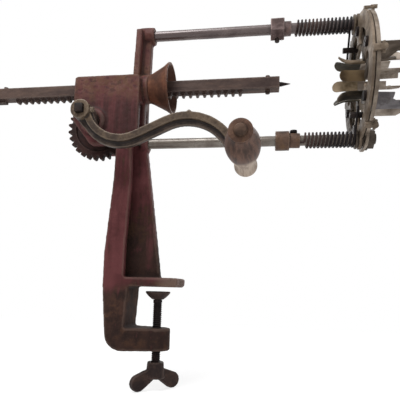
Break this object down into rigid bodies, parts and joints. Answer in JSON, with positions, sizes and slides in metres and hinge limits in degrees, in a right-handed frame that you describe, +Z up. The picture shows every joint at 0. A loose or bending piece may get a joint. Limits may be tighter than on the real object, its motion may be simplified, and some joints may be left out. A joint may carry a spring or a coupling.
{
  "type": "hand-cranked corn cutter",
  "caption": "Table-clamped hand crank turns a gear that drives a toothed rack, pushing a corn cob from a cup through a ring of sprung knives.",
  "frame": {"origin": "centre of the clamp jaw's underside, on the clamp screw's axis, where the table top meets the jaw", "axes": "+Z up along the clamp screw, +X along the rack towards the knife head, -Y towards the crank"},
  "size_m": [0.4629, 0.2162, 0.4011],
  "materials": {
    "painted_iron": "worn dark red paint",
    "rusty_iron": "rust-brown casting",
    "tool_steel": "dull, stained",
    "dark_steel": "dark, oiled",
    "grip_wood": "weathered"
  },
  "bodies": {
    "frame": {"frame_casting": "painted_iron", "cob_cup": "rusty_iron", "top_rod": "tool_steel", "bottom_rod": "tool_steel", "top_collar": "rusty_iron", "bottom_collar": "rusty_iron", "top_set_screw": "dark_steel", "bottom_set_screw": "dark_steel", "top_spring": "dark_steel", "bottom_spring": "dark_steel", "top_flange": "tool_steel", "bottom_flange": "tool_steel", "head_plate": "tool_steel", "pivot_screws": "dark_steel", "top_sleeve": "tool_steel", "bottom_sleeve": "tool_steel", "top_nut": "tool_steel", "bottom_nut": "tool_steel", "ring_clips": "tool_steel"},
    "ring": {"cam_ring": "tool_steel", "top_post": "dark_steel", "bottom_post": "dark_steel"},
    "knife_1": {"knife_arm_1": "tool_steel", "guide_finger_1": "tool_steel", "knife_blade_1": "tool_steel"},
    "knife_2": {"knife_arm_2": "tool_steel", "guide_finger_2": "tool_steel", "knife_blade_2": "tool_steel"},
    "knife_3": {"knife_arm_3": "tool_steel", "guide_finger_3": "tool_steel", "knife_blade_3": "tool_steel"},
    "knife_4": {"knife_arm_4": "tool_steel", "guide_finger_4": "tool_steel", "knife_blade_4": "tool_steel"},
    "knife_5": {"knife_arm_5": "tool_steel", "guide_finger_5": "tool_steel", "knife_blade_5": "tool_steel"},
    "knife_6": {"knife_arm_6": "tool_steel", "guide_finger_6": "tool_steel", "knife_blade_6": "tool_steel"},
    "top_arm": {"top_spring_arm": "dark_steel"},
    "bottom_arm": {"bottom_spring_arm": "dark_steel"},
    "rack": {"rack_bar": "rusty_iron", "cob_spike": "dark_steel", "front_stop_pin": "dark_steel", "rear_stop_pin": "dark_steel"},
    "crank": {"drive_gear": "painted_iron", "gear_shaft": "dark_steel", "crank_arm": "dark_steel", "crank_set_screw": "tool_steel", "grip_spindle": "dark_steel", "grip_washer": "rusty_iron"},
    "grip": {"crank_grip": "grip_wood"},
    "pad": {"clamp_pad": "rusty_iron"},
    "screw": {"clamp_screw": "dark_steel", "wing_key": "rusty_iron"}
  },
  "joints": [
    {"name": "crank_turn", "type": "hinge", "parent": "frame", "child": "crank", "pos_m": [-0.074, 0, 0.1761], "axis": [0, 1, 0], "range_deg": [-196, 153]},
    {"name": "rack_slide", "type": "slide", "parent": "frame", "child": "rack", "axis": [1, 0, 0], "range_m": [-0.12, 0.094]},
    {"name": "grip_spin", "type": "hinge", "parent": "crank", "child": "grip", "pos_m": [0.0926, -0.1, 0.1162], "axis": [0, 1, 0], "continuous": true},
    {"name": "pad_slide", "type": "slide", "parent": "frame", "child": "pad", "axis": [0, 0, 1], "range_m": [-0.027, 0.004]},
    {"name": "screw_turn", "type": "hinge", "parent": "pad", "child": "screw", "pos_m": [0, 0, -0.06], "axis": [0, 0, 1], "range_deg": [-4800, 700]},
    {"name": "ring_turn", "type": "hinge", "parent": "frame", "child": "ring", "pos_m": [0.205, 0, 0.22], "axis": [1, 0, 0], "range_deg": [-7, 6], "deforming": ["top_spring", "bottom_spring"]},
    {"name": "knife_1_turn", "type": "hinge", "parent": "frame", "child": "knife_1", "pos_m": [0.205, 0.04742, 0.20414], "axis": [1, 0, 0], "range_deg": [-10.6, 9.1]},
    {"name": "knife_2_turn", "type": "hinge", "parent": "frame", "child": "knife_2", "pos_m": [0.205, 0.03745, 0.25313], "axis": [1, 0, 0], "range_deg": [-10.6, 9.1]},
    {"name": "knife_3_turn", "type": "hinge", "parent": "frame", "child": "knife_3", "pos_m": [0.205, -0.00997, 0.269], "axis": [1, 0, 0], "range_deg": [-10.6, 9.1]},
    {"name": "knife_4_turn", "type": "hinge", "parent": "frame", "child": "knife_4", "pos_m": [0.205, -0.04742, 0.23586], "axis": [1, 0, 0], "range_deg": [-10.6, 9.1]},
    {"name": "knife_5_turn", "type": "hinge", "parent": "frame", "child": "knife_5", "pos_m": [0.205, -0.03745, 0.18687], "axis": [1, 0, 0], "range_deg": [-10.6, 9.1]},
    {"name": "knife_6_turn", "type": "hinge", "parent": "frame", "child": "knife_6", "pos_m": [0.205, 0.00997, 0.171], "axis": [1, 0, 0], "range_deg": [-10.6, 9.1]},
    {"name": "top_arm_turn", "type": "hinge", "parent": "frame", "child": "top_arm", "pos_m": [0.205, 0, 0.283], "axis": [1, 0, 0], "range_deg": [-6.2, 7.2]},
    {"name": "bottom_arm_turn", "type": "hinge", "parent": "frame", "child": "bottom_arm", "pos_m": [0.205, 0, 0.157], "axis": [1, 0, 0], "range_deg": [-6.2, 7.2]}
  ],
  "couplings": [
    {"joint": "rack_slide", "follows": "crank_turn", "m_per_rad": 0.035},
    {"joint": "pad_slide", "follows": "screw_turn", "m_per_rad": 0.00031831},
    {"joint": "knife_1_turn", "follows": "ring_turn", "ratio": 1.5},
    {"joint": "knife_2_turn", "follows": "ring_turn", "ratio": 1.5},
    {"joint": "knife_3_turn", "follows": "ring_turn", "ratio": 1.5},
    {"joint": "knife_4_turn", "follows": "ring_turn", "ratio": 1.5},
    {"joint": "knife_5_turn", "follows": "ring_turn", "ratio": 1.5},
    {"joint": "knife_6_turn", "follows": "ring_turn", "ratio": 1.5},
    {"joint": "top_arm_turn", "follows": "ring_turn", "ratio": -1},
    {"joint": "bottom_arm_turn", "follows": "ring_turn", "ratio": -1}
  ]
}
